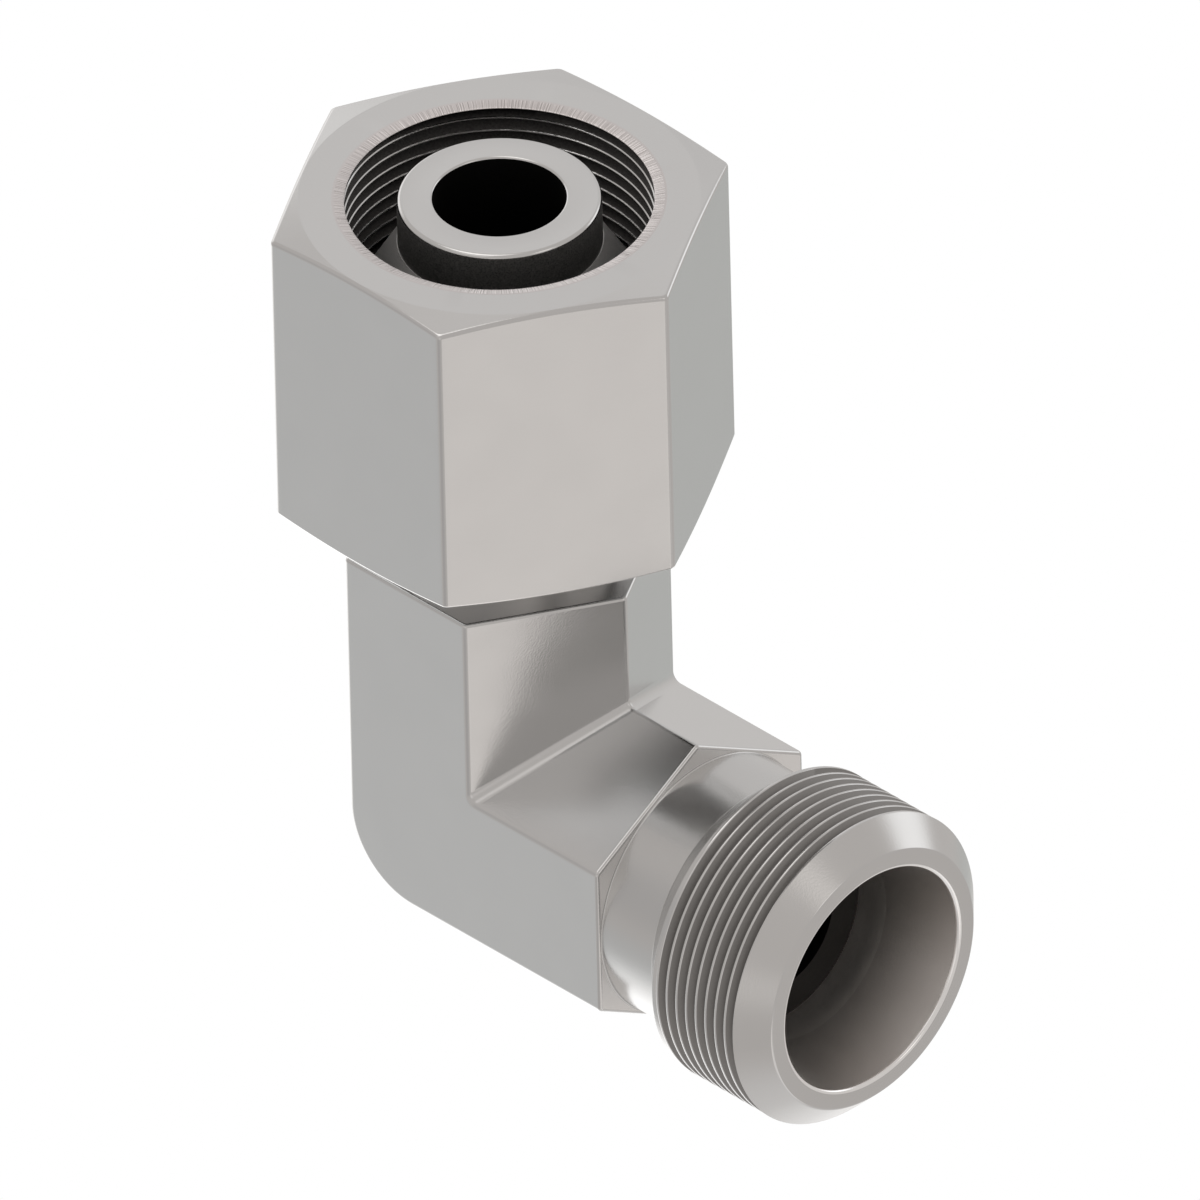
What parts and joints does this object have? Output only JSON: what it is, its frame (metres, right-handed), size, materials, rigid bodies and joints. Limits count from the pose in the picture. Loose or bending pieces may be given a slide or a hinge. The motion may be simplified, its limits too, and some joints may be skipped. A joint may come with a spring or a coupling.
{
  "type": "elbow fitting",
  "caption": "Right-angle steel compression elbow: threaded cone-seat stub on one port, standpipe with cutting ring and swivelling hexagon union nut on the other.",
  "frame": {"origin": "where the axes of the two ports cross, inside the bend", "axes": "+Z along the standpipe and nut, away from the bend; +X along the threaded stub, out of its mouth; the hexagons have a pair of flats square to Y, and the part is symmetric about the plane Y = 0"},
  "size_m": [0.0435, 0.024, 0.0515],
  "materials": {
    "body_steel": "satin stainless, finely blasted flats and polished turned neck",
    "nut_steel": "satin stainless, fine brushed flats",
    "ring_steel": "dull grey hardened ring, finely turned"
  },
  "bodies": {
    "elbow": {"elbow_body": "body_steel", "cutting_ring": "ring_steel"},
    "nut": {"union_nut": "nut_steel"}
  },
  "joints": [
    {"name": "nut_swivel", "type": "hinge", "parent": "elbow", "child": "nut", "pos_m": [0, 0, 0.0314], "axis": [0, 0, 1], "continuous": true}
  ]
}
